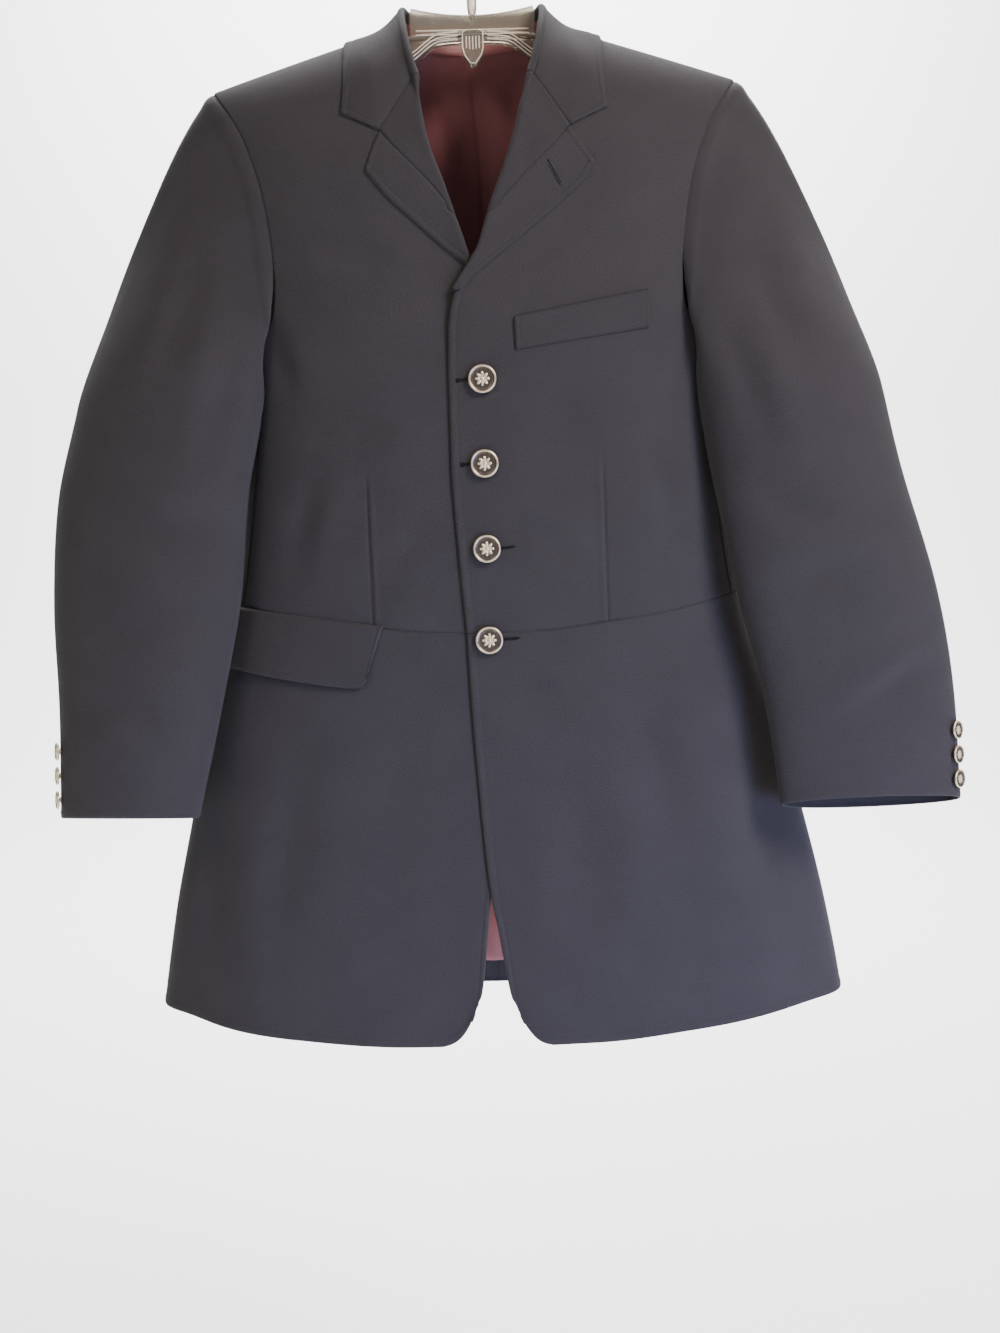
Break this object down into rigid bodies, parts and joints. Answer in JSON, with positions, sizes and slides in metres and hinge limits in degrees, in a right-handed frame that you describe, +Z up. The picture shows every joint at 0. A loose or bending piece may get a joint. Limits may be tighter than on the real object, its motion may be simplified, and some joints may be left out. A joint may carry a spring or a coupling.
{
  "type": "riding show jacket on a clear clothes hanger",
  "caption": "Single-breasted riding jacket with notched lapels, breast welt, hip flap and open skirts, buttoned and hung on a clear plastic hanger.",
  "frame": {"origin": "inside top of the hanger's hook, where it rests on a rail", "axes": "+Z up, +X towards the wearer's left, which is the viewer's right from the front, +Y from the front of the jacket to its back"},
  "size_m": [0.7516, 0.1783, 0.9359],
  "materials": {
    "black_wool_twill": "matt wool twill, charcoal black",
    "burgundy_lining": "burgundy satin lining",
    "silver_metal": "pale silver plate, soft shine",
    "clear_plastic": "hazy clear moulded plastic",
    "plated_wire": "bright plated wire"
  },
  "bodies": {
    "root": {"bodice_left": "black_wool_twill", "bodice_right": "black_wool_twill", "skirt_left": "black_wool_twill", "skirt_right": "black_wool_twill", "side_panel_left": "black_wool_twill", "side_panel_right": "black_wool_twill", "back_left": "black_wool_twill", "back_right": "black_wool_twill", "top_sleeve_left": "black_wool_twill", "under_sleeve_left": "black_wool_twill", "top_sleeve_right": "black_wool_twill", "under_sleeve_right": "black_wool_twill", "lapel_left": "black_wool_twill", "lapel_band_left": "black_wool_twill", "lapel_right": "black_wool_twill", "lapel_band_right": "black_wool_twill", "collar": "black_wool_twill", "breast_welt": "black_wool_twill", "hip_flap": "black_wool_twill", "back_lining": "burgundy_lining", "front_button_1": "silver_metal", "front_button_2": "silver_metal", "front_button_3": "silver_metal", "front_button_4": "silver_metal", "cuff_button_left_1": "silver_metal", "cuff_button_left_2": "silver_metal", "cuff_button_left_3": "silver_metal", "cuff_button_right_1": "silver_metal", "cuff_button_right_2": "silver_metal", "cuff_button_right_3": "silver_metal", "hanger": "clear_plastic", "hanger_hook": "plated_wire"}
  },
  "joints": []
}
